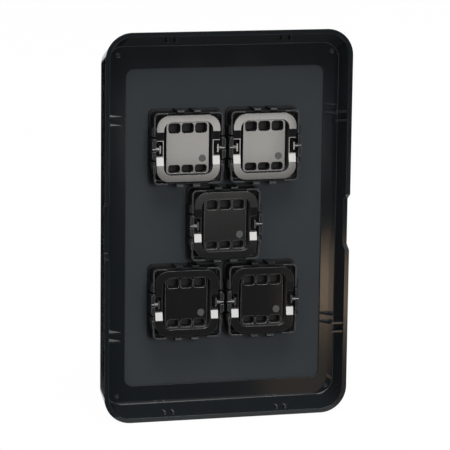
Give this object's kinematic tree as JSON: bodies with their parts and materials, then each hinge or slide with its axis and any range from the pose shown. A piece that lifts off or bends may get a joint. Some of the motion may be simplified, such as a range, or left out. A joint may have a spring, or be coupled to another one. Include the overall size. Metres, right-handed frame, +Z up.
{
  "type": "switch plate",
  "caption": "Black clip-on wall switch cover with a shallow open-backed tray, locating ribs, snap-in carrier frames and square tilting rockers with small indicator lenses.",
  "frame": {"origin": "centre of the tray's open back, in the plane of the rim that meets the wall", "axes": "+Z up on the wall, +Y towards the room, +X to the right as the back is looked at"},
  "size_m": [0.075, 0.0107, 0.117],
  "materials": {
    "cover_black": "semi-gloss moulded black with a matt sunk panel",
    "carrier_black": "satin moulded black",
    "ring_black": "gloss moulded black",
    "cap_black": "gloss moulded black",
    "lens_smoke": "smoke-grey translucent plastic"
  },
  "bodies": {
    "cover": {"cover_plate": "cover_black", "top_left_carrier": "carrier_black", "top_right_carrier": "carrier_black", "middle_carrier": "carrier_black", "bottom_left_carrier": "carrier_black", "bottom_right_carrier": "carrier_black"},
    "top_left_rocker": {"top_left_rocker_ring": "ring_black", "top_left_rocker_cap": "cap_black", "top_left_indicator_lens": "lens_smoke"},
    "top_right_rocker": {"top_right_rocker_ring": "ring_black", "top_right_rocker_cap": "cap_black", "top_right_indicator_lens": "lens_smoke"},
    "middle_rocker": {"middle_rocker_ring": "ring_black", "middle_rocker_cap": "cap_black", "middle_indicator_lens": "lens_smoke"},
    "bottom_left_rocker": {"bottom_left_rocker_ring": "ring_black", "bottom_left_rocker_cap": "cap_black", "bottom_left_indicator_lens": "lens_smoke"},
    "bottom_right_rocker": {"bottom_right_rocker_ring": "ring_black", "bottom_right_rocker_cap": "cap_black", "bottom_right_indicator_lens": "lens_smoke"}
  },
  "joints": [
    {"name": "top_left_tilt", "type": "hinge", "parent": "cover", "child": "top_left_rocker", "pos_m": [-0.0117, 0.0032, 0.0234], "axis": [1, 0, 0], "range_deg": [-2.5, 2.5]},
    {"name": "top_right_tilt", "type": "hinge", "parent": "cover", "child": "top_right_rocker", "pos_m": [0.0117, 0.0032, 0.0234], "axis": [1, 0, 0], "range_deg": [-2.5, 2.5]},
    {"name": "middle_tilt", "type": "hinge", "parent": "cover", "child": "middle_rocker", "pos_m": [0, 0.0032, 0], "axis": [1, 0, 0], "range_deg": [-2.5, 2.5]},
    {"name": "bottom_left_tilt", "type": "hinge", "parent": "cover", "child": "bottom_left_rocker", "pos_m": [-0.0117, 0.0032, -0.0234], "axis": [1, 0, 0], "range_deg": [-2.5, 2.5]},
    {"name": "bottom_right_tilt", "type": "hinge", "parent": "cover", "child": "bottom_right_rocker", "pos_m": [0.0117, 0.0032, -0.0234], "axis": [1, 0, 0], "range_deg": [-2.5, 2.5]}
  ]
}
